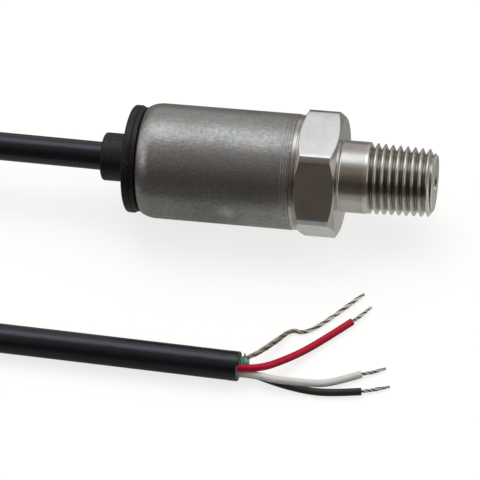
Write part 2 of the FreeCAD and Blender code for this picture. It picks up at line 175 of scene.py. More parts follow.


# the port's own sizes, which its thread's finish and painted groove shade need too
port = {
    "tipFaceRadius": 0.0053,
    "faceMiddle": 0.0038,
    "rim": (0.00026, 0.00028),     # length and height of the rim round the tip's face, which carries a painted highlight
    "tipSlope": 1.4,               # rise of the tip's chamfer for each length
    "largeEndRadius": 0.00678,     # crest radius beside the neck
    "taper": 1 / 32,
    "threadLength": 0.0124,
    "pitch": 0.001411,
    "threadDepth": 0.00108,
    "unshadedTip": 0.0022,            # up to here the painted shade of the grooves fades in
    # the groove from one crest to the next, as shares of the pitch and of the depth
    "groove": ((0.06, 0), (0.08, 0.03), (0.33, 0.64), (0.47, 1),
               (0.53, 1), (0.67, 0.64), (0.92, 0.03), (0.94, 0)),
    "turns": (-10, 4),             # grooves counted from the crest below, past both ends of the thread
    "crestStation": 0.011546,      # where the last crest passes angle 0
    "runIn": (0, 0.00025),         # the groove fades in between these, behind the end face
    "runOut": (0.0122, 0.0127),    # and out between these
    "gridEnd": 0.0130,
    "neckRadius": 0.00685,
    "neckMiddle": 0.0150,
    "hexFront": 0.0178,
    "hexBack": 0.02545,
    "fillet": 0.00045,
    "faceRadius": 0.0109,
    "chamferAngle": 30,
    "edgeRound": 0.00004,
    "cornerBlend": 0.00006,
    "landRadius": 0.011,
    "landGroove": (0.0255, 0.00012),
    "landBack": 0.0265,
    "landBevel": 0.0001,
    "spigotRadius": 0.01015,
    "spigotBack": 0.030,
    "pedestalRadius": 0.0045,
    "boreRadius": 0.0017,
    "boreChamfer": 0.0004,
    "boreMouth": 0.0007,
    "boreFlare": 0.00025,          # the mouth opens by this much
    "diaphragm": 0.0006,
}


# materials
def startMaterial(name):
    material = bpy.data.materials.new(name)
    material.use_nodes = True
    tree = material.node_tree
    place = addNode(tree, "ShaderNodeTexCoord").outputs["Object"]
    return material, tree, tree.nodes["Principled BSDF"], place


def useGroup(tree, group, place, **values):
    return addNode(tree, "ShaderNodeGroup", {"Position": place, **values}, node_tree=group).outputs


def mixColours(tree, mask, first, second):
    # each of the two is a colour or a socket
    ends = [(*value, 1) if isinstance(value, tuple) else value for value in (first, second)]
    inputs = {0: mask, 6: ends[0], 7: ends[1]}
    return addNode(tree, "ShaderNodeMix", inputs, data_type="RGBA").outputs[2]


def softEdge(tree, value, reach):
    return addRange(tree, value, reach, curve="SMOOTHSTEP")


def spread(tree, mask, low, high):
    return addRange(tree, mask, result=(low, high))


def addBump(tree, shader, height, distance):
    bump = addNode(tree, "ShaderNodeBump", {"Distance": distance, "Strength": 1.0, "Height": height})
    feed(tree, shader, {"Normal": bump.outputs["Normal"]})


def finishMetal(tree, shader, colour, wear, roughness, height, relief, metal=1.0):
    # wear drives the roughness, and height the bump
    feed(tree, shader, {"Base Color": colour, "Roughness": spread(tree, wear, *roughness),
                        "Metallic": metal})
    addBump(tree, shader, height, relief)


fineRelief = 0.000004


def makeTurnedSteel(name, clean, stained, roughness, metal=1.0):
    material, tree, shader, place = startMaterial(name)
    stains = useGroup(tree, cloudStains, place, Scale=260.0, Low=0.42, High=0.7)["Mask"]
    lines = useGroup(tree, turnLines, place, Scale=5200.0)["Height"]
    colour = mixColours(tree, stains, clean, stained)
    finishMetal(tree, shader, colour, lines, roughness, lines, fineRelief, metal)
    return material


threadFinishAndShade = {
    "crest": (0.80, 0.79, 0.76),
    # the root colour is a darker copy of the steel: painted shade deep in the grooves
    "root": (0.44, 0.42, 0.385),
    "lineScale": 6500.0,
    "roughness": (0.1, 0.24),
}


def makeThreadSteel(name):
    # bright crests, and painted shade that darkens the grooves towards their roots
    material, tree, shader, place = startMaterial(name)
    tipRadius = port["largeEndRadius"] - port["threadLength"] * port["taper"]
    sizes = {"Tip Radius": tipRadius, "Taper": port["taper"], "Depth": port["threadDepth"],
             "Unshaded Tip": port["unshadedTip"]}
    depth = useGroup(tree, grooveShadeDepth, place, **sizes)["Mask"]
    lines = useGroup(tree, turnLines, place, Scale=threadFinishAndShade["lineScale"])["Height"]
    colour = mixColours(tree, depth, threadFinishAndShade["crest"], threadFinishAndShade["root"])
    finishMetal(tree, shader, colour, lines, threadFinishAndShade["roughness"], lines, fineRelief)
    return material


flatFinish = {
    "clean": (0.92, 0.90, 0.93),
    "stained": (0.80, 0.80, 0.81),
    "stainScale": 330.0,
    "lineScale": 1800.0,
    "lineLength": 9.0,
    "roughness": (0.16, 0.3),
    "relief": 0.000008,
}


def makeFlatSteel(name):
    # the hexagon's drawn flats
    material, tree, shader, place = startMaterial(name)
    stains = useGroup(tree, cloudStains, place, Scale=flatFinish["stainScale"], Low=0.35, High=0.7)["Mask"]
    lines = useGroup(tree, brushLines, place, Scale=flatFinish["lineScale"],
                     Length=flatFinish["lineLength"])["Height"]
    colour = mixColours(tree, stains, flatFinish["clean"], flatFinish["stained"])
    finishMetal(tree, shader, colour, lines, flatFinish["roughness"], lines, flatFinish["relief"])
    return material


canFinish = {
    "coolClean": (0.56, 0.573, 0.60),
    "warmClean": (0.56, 0.56, 0.54),
    "coolDull": (0.30, 0.30, 0.31),
    "warmDull": (0.30, 0.295, 0.275),
    "patchShare": 0.35,            # the rest of the dulling is fine mottling
    "roughness": (0.25, 0.40),
    "metal": 0.93,
    "relief": 0.00003,
    "scuff": (0.74, 0.74, 0.71),
    "scuffPlace": (-0.0060, -0.0109, 0.0105),
    "scuffSize": 0.0020,
}


def addScuff(tree, place, mottling):
    # a small ragged mark, 1 at its middle
    size = canFinish["scuffSize"]
    away = addNode(tree, "ShaderNodeVectorMath", {0: place, 1: canFinish["scuffPlace"]},
                   operation="DISTANCE").outputs["Value"]
    ragged = addMath(tree, "SUBTRACT", addMath(tree, "MULTIPLY", mottling, size),
                     addMath(tree, "SUBTRACT", away, size / 2))
    return softEdge(tree, ragged, (0, size))


def makeCanSteel(name):
    # drawn steel, lightly tumbled: broad patches, fine mottling, short streaks along the axis and one scuff
    material, tree, shader, place = startMaterial(name)
    patches = useGroup(tree, cloudStains, place, Scale=130.0, Low=0.36, High=0.66)["Mask"]
    mottling = useGroup(tree, cloudStains, place, Scale=1500.0, Low=0.3, High=0.7)["Mask"]
    streaks = useGroup(tree, brushLines, place, Scale=2600.0, Length=4.0)["Height"]
    warmth = useGroup(tree, cloudStains, place, Scale=210.0, Low=0.4, High=0.62)["Mask"]
    share = canFinish["patchShare"]
    both = addMath(tree, "ADD", addMath(tree, "MULTIPLY", patches, share),
                   addMath(tree, "MULTIPLY", mottling, 1 - share))
    clean = mixColours(tree, warmth, canFinish["coolClean"], canFinish["warmClean"])
    dull = mixColours(tree, warmth, canFinish["coolDull"], canFinish["warmDull"])
    colour = mixColours(tree, addScuff(tree, place, mottling), mixColours(tree, both, clean, dull),
                        canFinish["scuff"])
    height = addMath(tree, "ADD", addMath(tree, "MULTIPLY", mottling, 0.5), streaks)
    finishMetal(tree, shader, colour, both, canFinish["roughness"], height, canFinish["relief"],
                canFinish["metal"])
    return material


def makePlastic(name, colour, shade, roughness, grainScale, grainDepth, speckle=None, coat=0.0, glow=0.0,
                gloss=0.5, wave=0.0, tint=(1.0, 1.0, 1.0)):
    # glow lets light through the piece, wave is its surface's slow unevenness, and tint colours highlights
    material, tree, shader, place = startMaterial(name)
    stains = useGroup(tree, cloudStains, place, Scale=500.0, Low=0.35, High=0.7)["Mask"]
    grain = useGroup(tree, fineGrain, place, Scale=grainScale)
    base = mixColours(tree, stains, colour, shade)
    if speckle:
        base = mixColours(tree, grain["Speckle"], base, speckle)
    feed(tree, shader, {"Base Color": base, "Roughness": spread(tree, grain["Height"], *roughness),
                        "Coat Weight": coat, "Specular IOR Level": gloss, "Specular Tint": (*tint, 1)})
    if glow:
        feed(tree, shader, {"Subsurface Weight": glow, "Subsurface Radius": (1.0, 0.9, 0.8),
                            "Subsurface Scale": 0.0006})
    height = grain["Height"]
    if wave:
        height = addMath(tree, "ADD", height, addMath(tree, "MULTIPLY", addNoise(tree, place, 90.0), wave))
    addBump(tree, shader, height, grainDepth)
    return material


def makeStrandMetal(name, clean, stained, roughness):
    material, tree, shader, place = startMaterial(name)
    stains = useGroup(tree, cloudStains, place, Scale=900.0, Low=0.4, High=0.62)["Mask"]
    grain = useGroup(tree, fineGrain, place, Scale=6000.0)["Height"]
    colour = mixColours(tree, stains, clean, stained)
    finishMetal(tree, shader, colour, stains, roughness, grain, fineRelief)
    return material


def makeClearFilm(name):
    material, tree, shader, place = startMaterial(name)
    stains = useGroup(tree, cloudStains, place, Scale=1500.0, Low=0.4, High=0.6)["Mask"]
    feed(tree, shader, {"Base Color": mixColours(tree, stains, (0.96, 1.0, 0.98), (0.10, 0.36, 0.26)),
                        "Alpha": spread(tree, stains, 0.35, 1.0), "Roughness": 0.1})
    return material


threadSteel = makeThreadSteel("threadSteel")
turnedSteel = makeTurnedSteel("turnedSteel", (0.66, 0.65, 0.63), (0.55, 0.52, 0.49), (0.12, 0.24))
# a darker copy of the turned steel for the tip's end face: painted shade
faceShadeSteel = makeTurnedSteel("faceShadeSteel", (0.47, 0.495, 0.44), (0.25, 0.27, 0.225), (0.16, 0.3))
cornerSteel = makeTurnedSteel("cornerSteel", (0.50, 0.54, 0.60), (0.40, 0.43, 0.47), (0.12, 0.24))
# a near-white copy of the turned steel for the bore: painted light inside it
boreHighlightSteel = makeTurnedSteel("boreHighlightSteel", (0.95, 0.95, 0.94), (0.90, 0.89, 0.87), (0.12, 0.2))
# a white, half diffuse copy of the turned steel for the tip's rim: painted highlight
rimHighlightSteel = makeTurnedSteel("rimHighlightSteel", (1.0, 1.0, 0.97), (0.94, 0.94, 0.9), (0.12, 0.2), metal=0.5)
flatSteel = makeFlatSteel("flatSteel")
canSteel = makeCanSteel("canSteel")
grommetRubber = makePlastic("grommetRubber", (0.004, 0.004, 0.0055), (0.007, 0.007, 0.009), (0.3, 0.5),
                            6000.0, 0.00003, speckle=(0.09, 0.092, 0.095))
gasketRubber = makePlastic("gasketRubber", (0.008, 0.008, 0.008), (0.012, 0.012, 0.012), (0.6, 0.8),
                           3000.0, 0.00002)
jacketPlastic = makePlastic("jacketPlastic", (0.006, 0.006, 0.009), (0.009, 0.009, 0.014), (0.15, 0.26),
                            2600.0, 0.00001, gloss=0.85, wave=30.0, tint=(0.84, 0.88, 1.0))
coreGrain = (1800.0, 0.00001)
redPlastic = makePlastic("redPlastic", (0.68, 0.006, 0.055), (0.58, 0.004, 0.04), (0.18, 0.32),
                         *coreGrain, gloss=0.25, glow=0.15)
whitePlastic = makePlastic("whitePlastic", (0.94, 0.94, 0.92), (0.86, 0.855, 0.83), (0.3, 0.45),
                           *coreGrain, glow=0.7)
blackPlastic = makePlastic("blackPlastic", (0.030, 0.030, 0.031), (0.038, 0.038, 0.039), (0.35, 0.5),
                           *coreGrain)
greenPlastic = makePlastic("greenPlastic", (0.015, 0.50, 0.32), (0.004, 0.17, 0.10), (0.1, 0.2),
                           *coreGrain, coat=1.0)
tinnedStrand = makeStrandMetal("tinnedStrand", (0.92, 0.90, 0.89), (0.70, 0.66, 0.64), (0.1, 0.22))
# a darker copy of the tinned strand metal: painted shade on every third strand and the middle one
shadedStrand = makeStrandMetal("shadedStrand", (0.16, 0.12, 0.13), (0.07, 0.05, 0.055), (0.2, 0.35))
dullStrand = makeStrandMetal("dullStrand", (0.66, 0.62, 0.54), (0.48, 0.43, 0.36), (0.3, 0.5))
# the drain's own brown, darker than dullStrand, so on every third strand it is partly painted shade
brownStrand = makeStrandMetal("brownStrand", (0.30, 0.25, 0.20), (0.18, 0.14, 0.10), (0.3, 0.5))
clearFilm = makeClearFilm("clearFilm")
print("materials built")


# helpers for meshes
mergeDistance = 0.000002


def addPiece(name, vertices, faces, materials, faceMaterials=None, smoothAngle=20):
    mesh = bpy.data.meshes.new(name)
    mesh.from_pydata(vertices, [], faces)
    for material in materials:
        mesh.materials.append(material)
    if faceMaterials:
        mesh.polygons.foreach_set("material_index", faceMaterials)
    work = bmesh.new()
    work.from_mesh(mesh)
    bmesh.ops.remove_doubles(work, verts=work.verts, dist=mergeDistance)
    bmesh.ops.recalc_face_normals(work, faces=work.faces)
    work.to_mesh(mesh)
    work.free()
    mesh.polygons.foreach_set("use_smooth", [True] * len(mesh.polygons))
    mesh.set_sharp_from_angle(angle=math.radians(smoothAngle))
    piece = bpy.data.objects.new(name, mesh)
    scene.collection.objects.link(piece)
    return piece


def placePiece(piece, slotName, *nodes):
    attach(piece, "root")
    if nodes:
        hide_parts(*nodes)
    print("piece", piece.name)


def axisPoint(station, radius, angle):
    # stations count from the tip of the port towards the cable
    return (tipX - station, radius * math.cos(angle), axisHeight + radius * math.sin(angle))


def evenAngles(count):
    return [2 * math.pi * k / count for k in range(count + 1)]


def gridFaces(columns, count):
    # faces between neighbouring columns of count points
    return [(k * count + row, k * count + row + 1, (k + 1) * count + row + 1, (k + 1) * count + row)
            for k in range(columns) for row in range(count - 1)]


def tubeFaces(first, rings, sides):
    # a tube of rings from the first point on, with its two ends closed
    faces = []
    for ring in range(rings - 1):
        for k in range(sides):
            corner = first + ring * sides + k
            beside = first + ring * sides + (k + 1) % sides
            faces.append((corner, beside, beside + sides, corner + sides))
    last = first + (rings - 1) * sides
    return faces + [tuple(reversed(range(first, first + sides))), tuple(range(last, last + sides))]


def addTurned(name, angles, profileAt, materials, materialAt=None, smoothAngle=20):
    # profileAt gives the same number of (station, radius) points for each angle; the last angle closes it
    columns = [profileAt(angle) for angle in angles]
    count = len(columns[0])
    vertices = [axisPoint(station, radius, angle)
                for angle, column in zip(angles, columns) for station, radius in column]
    faces = gridFaces(len(angles) - 1, count)
    faceMaterials = None
    if materialAt:
        faceMaterials = [materialAt(row, (first + second) / 2)
                         for first, second in zip(angles, angles[1:]) for row in range(count - 1)]
    return addPiece(name, vertices, faces, materials, faceMaterials, smoothAngle)


def arcRow(station, radius, size, first, last, steps=4):
    # points of a round, about a centre, by angle in degrees from the cable's direction to outward
    turns = [math.radians(first + (last - first) * k / steps) for k in range(steps + 1)]
    return [(station + size * math.cos(turn), radius + size * math.sin(turn)) for turn in turns]


# the pressure port
pedestalBack = tipX - portLow[0]


def smoothStep(low, high, value):
    share = min(max((value - low) / (high - low), 0), 1)
    return share * share * (3 - 2 * share)


def flatOffset(angle):
    # angle from the middle of the nearest flat
    sector = math.radians(60)
    return (angle % sector) - sector / 2


def hexRadius(angle):
    flat = acrossFlats / 2 / math.cos(flatOffset(angle))
    blend = max(port["cornerBlend"] - abs(flat - hexCornerRadius), 0) / port["cornerBlend"]
    return min(flat, hexCornerRadius) - blend * blend * port["cornerBlend"] / 4


def portAngles():
    # evenly over each flat, and closer where a flat meets its corner
    edge = math.degrees(math.acos(acrossFlats / 2 / hexCornerRadius))
    flatSteps = 17
    near = 0.5
    inner = [(-1 + 2 * k / (flatSteps - 1)) * (edge - near) for k in range(flatSteps)]
    offsets = inner + [edge, edge + near, 30, 60 - near - edge, 60 - edge]
    degrees = [30 + 60 * sector + offset for sector in range(6) for offset in offsets]
    start = degrees[0]
    return [math.radians(value - start) + math.radians(start) for value in degrees] + [
        math.radians(start + 360)]


def threadRadius(station, depthShare):
    crest = port["largeEndRadius"] - (port["threadLength"] - station) * port["taper"]
    fade = smoothStep(*port["runOut"], station)
    start = smoothStep(*port["runIn"], station)
    outer = crest + (port["neckRadius"] - crest) * fade
    grooved = outer - port["threadDepth"] * depthShare * (1 - fade) * start
    rimLength, rimHeight = port["rim"]
    return min(grooved, port["tipFaceRadius"] + rimHeight + port["tipSlope"] * (station - rimLength))


def threadRows(angle):
    rows = []
    for turn in range(*port["turns"]):
        for share, depthShare in port["groove"]:
            station = port["crestStation"] + port["pitch"] * (turn + share - angle / (2 * math.pi))
            station = min(max(station, port["rim"][0]), port["gridEnd"])
            rows.append((station, threadRadius(station, depthShare)))
    return rows


def hexRows(angle):
    radius = hexRadius(angle)
    face = port["faceRadius"]
    slope = math.tan(math.radians(port["chamferAngle"]))
    small = port["edgeRound"]
    front = port["hexFront"]
    back = port["hexBack"]
    depth = (radius - face) * slope
    landDepth = (radius - port["landRadius"]) * slope
    landStart = back - (port["landRadius"] - face) * slope
    frontEdge = front + depth
    backEdge = landStart - landDepth
    return [
        (front, face - small),
        (front + small * slope, face + small / 2),
        (frontEdge - small * slope, radius - small),
        (frontEdge + small / 2, radius - small / 6),
        (frontEdge + 2 * small, radius),
        (backEdge - 2 * small, radius),
        (backEdge - small / 2, radius - small / 6),
        (backEdge + small * slope, radius - small),
        (landStart, port["landRadius"]),
    ]


# how many points of the profile each stretch has, from the bore's end outward and back
boreRowCount = 3
frontRowCount = 7
threadRowCount = (port["turns"][1] - port["turns"][0]) * len(port["groove"])
neckRowCount = 7
hexFrontRowCount = 4
flatRow = frontRowCount + threadRowCount + neckRowCount + hexFrontRowCount


def portProfile(angle):
    bore = port["boreRadius"]
    chamfer = port["boreChamfer"]
    boreEnd = pedestalBack - port["diaphragm"]
    rows = [(boreEnd, 0), (boreEnd, bore - chamfer), (boreEnd - chamfer, bore), (port["boreMouth"], bore),
            (0, bore + port["boreFlare"]), (0, port["faceMiddle"]), (0, port["tipFaceRadius"])]
    rows += threadRows(angle)
    fillet = port["fillet"]
    neck = port["neckRadius"]
    rows += [(port["neckMiddle"], neck)]
    for k in range(neckRowCount - 1):
        turn = math.radians(90 * k / (neckRowCount - 2))
        rows.append((port["hexFront"] - fillet + fillet * math.sin(turn),
                     neck + fillet - fillet * math.cos(turn)))
    rows += hexRows(angle)
    groove, notch = port["landGroove"]
    land = port["landRadius"]
    landBack = port["landBack"]
    bevel = port["landBevel"]
    spigot = port["spigotRadius"]
    spigotBack = port["spigotBack"]
    pedestal = port["pedestalRadius"]
    rows += [(groove, land), (groove + notch, land - notch), (groove + 2 * notch, land),
             (landBack - bevel, land), (landBack, land - bevel), (landBack, spigot), (spigotBack, spigot),
             (spigotBack, pedestal), (pedestalBack, pedestal), (pedestalBack, 0)]
    return rows


def portMaterialAt(row, angle):
    # the number of a material in portSteels
    edge = math.acos(acrossFlats / 2 / hexCornerRadius)
    if row < frontRowCount - 1:
        return 4 if row < boreRowCount else 3
    if row == frontRowCount - 1:
        return 6
    if row < frontRowCount + threadRowCount - 1:
        return 2
    if row != flatRow:
        return 0
    return 1 if abs(flatOffset(angle)) < edge else 5


portSteels = [turnedSteel, flatSteel, threadSteel, faceShadeSteel, boreHighlightSteel, cornerSteel, rimHighlightSteel]
portBody = addTurned("portBody", portAngles(), portProfile, portSteels, portMaterialAt)
placePiece(portBody, "turned_steel", "pressure_port")


# the can
can = {
    "wall": 0.0009,
    "web": 0.0012,
    "holeRadius": 0.006,
    "shoulderLength": 0.0029,
    "shoulderDrop": 0.0009,
    "edgeRound": 0.00012,
    "toolRings": (0.00045, 0.0009, 0.0014),   # fine rings, back from the front edge
    "ringDepth": 0.00006,
    "ringWidth": 0.00016,
}
canFront = tipX - canHigh[0]
canBack = tipX - canLow[0]
webFront = canBack - can["web"]


def shoulderArc(inset, back, steps=14):
    arcRadius = (can["shoulderLength"] ** 2 + can["shoulderDrop"] ** 2) / (2 * can["shoulderDrop"])
    front = canBack - can["shoulderLength"]
    points = []
    for k in range(steps + 1):
        station = front + (back - front) * k / steps
        rise = math.sqrt((arcRadius - inset) ** 2 - (station - front) ** 2)
        points.append((station, canRadius - arcRadius + rise))
    return points


def canProfile(angle):
    small = can["edgeRound"]
    inner = canRadius - can["wall"]
    rows = [(canFront, inner), (canFront, canRadius - small),
            (canFront + small * 0.3, canRadius - small * 0.3), (canFront + small, canRadius)]
    for ring in can["toolRings"]:
        start = canFront + ring
        rows += [(start, canRadius), (start + can["ringWidth"] / 2, canRadius - can["ringDepth"]),
                 (start + can["ringWidth"], canRadius)]
    rows += shoulderArc(0, canBack)
    endRadius = rows[-1][1]
    rows[-1] = (canBack - small, rows[-1][1])
    hole = can["holeRadius"]
    rows += [(canBack, endRadius - small), (canBack, hole), (webFront, hole)]
    rows += shoulderArc(can["wall"], webFront)[::-1]
    rows += [(canFront, inner)]
    return rows


canShell = addTurned("canShell", evenAngles(128), canProfile, [canSteel], smoothAngle=25)
placePiece(canShell, "can_steel", "housing_can")


# the grommet and its gasket
grommet = {
    "flangeThickness": 0.00245,
    "flangeRadius": 0.0104,
    "bossRadius": 0.00465,
    "bevel": 0.00035,
    "plugRadius": 0.0059,
    "lipRadius": 0.0072,
    "holeRadius": 0.0028,
    "cornerRound": 0.0003,
    "stepLength": 0.0009,          # the flange is a little smaller on the can's side
    "stepDrop": 0.0003,
    "stepBevel": 0.0002,
    "holeBevel": 0.0001,
    "gasketGap": 0.0002,
    "creaseShare": 0.75,           # of the flange's radius, where its back face has a fine ring
}
gasketFront = tipX - gasketHigh[0]
flangeFront = tipX - gasketLow[0]
lipFront = tipX - grommetHigh[0]
bossBack = tipX - grommetLow[0]


def grommetProfile(angle):
    bevel = grommet["bevel"]
    flange = grommet["flangeRadius"]
    boss = grommet["bossRadius"]
    flangeBack = flangeFront + grommet["flangeThickness"]
    corner = grommet["cornerRound"]
    hole = grommet["holeRadius"]
    holeBevel = grommet["holeBevel"]
    lip = grommet["lipRadius"]
    plug = grommet["plugRadius"]
    rows = [(lipFront, hole), (lipFront, lip - bevel), (lipFront + bevel, lip), (webFront, lip),
            (webFront, plug), (flangeFront, plug)]
    step = flange - grommet["stepDrop"]
    stepEnd = flangeFront + grommet["stepLength"]
    rows += arcRow(flangeFront + bevel, step - bevel, bevel, 180, 90)
    rows += [(stepEnd, step), (stepEnd + grommet["stepBevel"], flange)]
    rows += arcRow(flangeBack - bevel, flange - bevel, bevel, 90, 0)
    rows += [(flangeBack, flange * grommet["creaseShare"])]
    rows += arcRow(flangeBack + corner, boss + corner, corner, 180, 270)
    rows += arcRow(bossBack - bevel, boss - bevel, bevel, 90, 0)
    rows += [(bossBack, hole + holeBevel), (bossBack - holeBevel, hole), (lipFront, hole)]
    return rows


def gasketProfile(angle):
    outer = (gasketHigh[1] - gasketLow[1]) / 2
    inner = grommet["plugRadius"] + grommet["gasketGap"]
    return [(gasketFront, inner), (gasketFront, outer), (flangeFront, outer), (flangeFront, inner),
            (gasketFront, inner)]


grommetBody = addTurned("grommetBody", evenAngles(96), grommetProfile, [grommetRubber], smoothAngle=35)
placePiece(grommetBody, "grommet_rubber", "cable_grommet")
gasketRing = addTurned("gasketRing", evenAngles(64), gasketProfile, [gasketRubber])
placePiece(gasketRing, "gasket_rubber", "grommet_gasket")


# the cable
cable = {
    "radius": 0.00275,
    "leadStraight": (-0.0472, 0, 0.0114),
    "leadCorner": (-0.0581, 0, 0.0116),
    "coilCentre": (-0.1012, -0.023),
    "outerTurn": 0.034,
    "turnPitch": 0.0056,
    "wholeTurns": 4,
    "entryAngle": 74,
    "exitAngle": 300,
    "lowerLayer": 0.003,
    "pointsPerTurn": 16,
    "climb": 45,                   # degrees each side of the middle over which the cable changes layer
    "tailCorner": (-0.0617, -0.03945, 0.00275),
    "tailStraight": (-0.0355, -0.0401, 0.00275),
    "tailEnd": (0.001, -0.0411, 0.00275),
    "length": 0.93,
}


def coilPoints():
    sweep = 360 * cable["wholeTurns"] + cable["exitAngle"] - cable["entryAngle"]
    count = round(sweep / 360 * cable["pointsPerTurn"])
    points = []
    for k in range(count + 1):
        turned = sweep * k / count
        inward = min(turned, sweep - turned) / 360
        radius = cable["outerTurn"] - cable["turnPitch"] * inward
        lift = smoothStep(sweep / 2 - cable["climb"], sweep / 2 + cable["climb"], turned)
        angle = math.radians(cable["entryAngle"] + turned)
        points.append((cable["coilCentre"][0] + radius * math.cos(angle),
                       cable["coilCentre"][1] + radius * math.sin(angle),
                       cable["lowerLayer"] + cable["turnPitch"] * lift))
    return points


def addCurve(name, points, radius, material, resolution=8, sides=8, swells=None):
    curve = bpy.data.curves.new(name, "CURVE")
    curve.dimensions = "3D"
    spline = curve.splines.new("NURBS")
    spline.points.add(len(points) - 1)
    for k, (target, point) in enumerate(zip(spline.points, points)):
        target.co = (*point, 1)
        target.radius = swells[k] if swells else 1
    spline.order_u = 3
    spline.use_endpoint_u = True
    curve.resolution_u = resolution
    curve.bevel_depth = radius
    curve.bevel_resolution = sides
    curve.use_fill_caps = True
    if material:
        curve.materials.append(material)
    piece = bpy.data.objects.new(name, curve)
    scene.collection.objects.link(piece)
    return piece


cableExit = (grommetLow[0], 0, axisHeight)
cablePoints = [cableExit, cable["leadStraight"], cable["leadCorner"]] + coilPoints() + [
    cable["tailCorner"], cable["tailStraight"], cable["tailEnd"]]
cableJacket = addCurve("cableJacket", cablePoints, cable["radius"], jacketPlastic)


# the stripped wires
wires = {
    "radius": 0.00069,
    "strandRadius": 0.00012,
    "layRadius": 0.00022,
    "drainStrandRadius": 0.00015,
    "drainLayRadius": 0.00026,
    "strandCount": 6,
    "twist": 0.0026,
    "drainTwist": 0.0046,
    "drainSpread": 0.45,           # how far the drain's strands part before its kink
    "drainChange": 0.52,           # where its finish changes, as a share of its length
    "twistShift": 0.3,             # unevenness of the twist, in turns
    "twistScale": 450,
    "lift": 0.2,                   # unevenness of each strand's distance from the middle
    "liftScale": 400,
    "liftStep": 3.1,               # from strand to strand in the noise
    "closeLength": 0.003,          # over this length the strands close up towards the tip
    "closeShare": 0.4,
    "hiddenShare": 0.2,            # of the insulation's last stretch, into which the strands reach back
}

# heights at which the middles of wires, tips and drain lie
low = 0.00071
tipLow = 0.00035
drainLow = 0.00042
tailAlong = (Vector(cable["tailEnd"]) - Vector(cable["tailCorner"])).normalized()
tailAcross = Vector((-tailAlong.y, tailAlong.x, 0))


def corePlace(sideways, height):
    # where a core leaves the jacket's end, just inside it
    back = tailAlong * wires["radius"]
    return Vector(cable["tailEnd"]) - back + tailAcross * sideways + Vector((0, 0, height))


wireRoutes = {
    "red": {
        "points": [corePlace(-0.00085, 0.00075), (0.0043, -0.04215, 0.0035), (0.0097, -0.0372, 0.0015),
                   (0.0142, -0.0326, low), (0.0197, -0.0267, low)],
        "tips": [(0.0212, -0.0249, 0.0005), (0.0227, -0.0225, tipLow)],
        "material": redPlastic,
    },
    "white": {
        "points": [corePlace(-0.00105, -0.00068), (0.0050, -0.0421, 0.00195), (0.0075, -0.04295, 0.0023),
                   (0.0140, -0.0428, 0.00205), (0.0169, -0.04185, 0.0010), (0.0206, -0.0400, low),
                   (0.0232, -0.03865, low)],
        "tips": [(0.0255, -0.03775, 0.0005), (0.0274, -0.0365, tipLow)],
        "material": whitePlastic,
    },
    "black": {
        "points": [corePlace(0.0001, -0.0015), (0.0031, -0.04085, low), (0.0086, -0.04265, low),
                   (0.0145, -0.0437, low), (0.0192, -0.04345, low), (0.0238, -0.04255, low)],
        "tips": [(0.0262, -0.0417, 0.0005), (0.0287, -0.0406, tipLow)],
        "material": blackPlastic,
    },
}
drainPoints = [corePlace(0.0015, 0), (0.0028, -0.0389, 0.0027), (0.0066, -0.0330, 0.0010),
               (0.0088, -0.02955, drainLow), (0.0113, -0.0304, drainLow), (0.0158, -0.0261, drainLow),
               (0.0209, -0.0196, drainLow)]


def routeLine(points, resolution=14):
    # the smooth line of a route, read from its own spline
    guide = addCurve("guide", points, 0, None, resolution)
    mesh = bpy.data.meshes.new_from_object(guide)
    line = [vertex.co.copy() for vertex in mesh.vertices]
    bpy.data.objects.remove(guide)
    bpy.data.meshes.remove(mesh)
    return line


def lineFrames(line):
    # position, two directions square to the line, and distance along it
    frames = []
    side = (line[1] - line[0]).cross(Vector((0, 0, 1))).normalized()
    distance = 0
    for k, point in enumerate(line):
        forward = (line[min(k + 1, len(line) - 1)] - line[max(k - 1, 0)]).normalized()
        side = (side - forward * side.dot(forward)).normalized()
        if k:
            distance += (point - line[k - 1]).length
        frames.append((point, side, forward.cross(side), distance))
    return frames


def addStrands(name, points, strandRadius, layRadius, twist, materials, materialShare=1.0, parting=0,
               sides=7):
    # every third strand takes the second material, a darker copy that paints shade on those strands, and past
    # materialShare of the length both change
    frames = lineFrames(routeLine(points))
    total = frames[-1][3]
    vertices = []
    faces = []
    faceMaterials = []
    strands = [(k / wires["strandCount"], layRadius) for k in range(wires["strandCount"])] + [(0, 0)]
    for number, (phase, lay) in enumerate(strands):
        first = len(vertices)
        for point, side, up, distance in frames:
            shift = wires["twistShift"] * noise.noise(Vector((0, distance * wires["twistScale"], 0)))
            turn = 2 * math.pi * (phase + distance / twist + shift)
            closing = smoothStep(total - wires["closeLength"], total, distance)
            lift = noise.noise(Vector((number * wires["liftStep"], distance * wires["liftScale"], 0)))
            loose = 1 - wires["closeShare"] * closing + wires["lift"] * lift
            loose += parting * math.sin(math.pi * min(distance / total / materialShare, 1)) ** 2
            centre = point + (side * math.cos(turn) + up * math.sin(turn)) * lay * loose
            for k in range(sides):
                angle = 2 * math.pi * k / sides
                vertices.append(centre + (side * math.cos(angle) + up * math.sin(angle)) * strandRadius)
                vertices[-1].z = max(vertices[-1].z, 0)
        faces += tubeFaces(first, len(frames), sides)
        dark = 1 if number % 3 == 0 else 0
        for *_, distance in frames[:-1]:
            later = 0 if distance <= total * materialShare else 2
            faceMaterials += [dark + later] * sides
        faceMaterials += [0, len(materials) - 2]
    return addPiece(name, vertices, faces, materials, faceMaterials, smoothAngle=60)


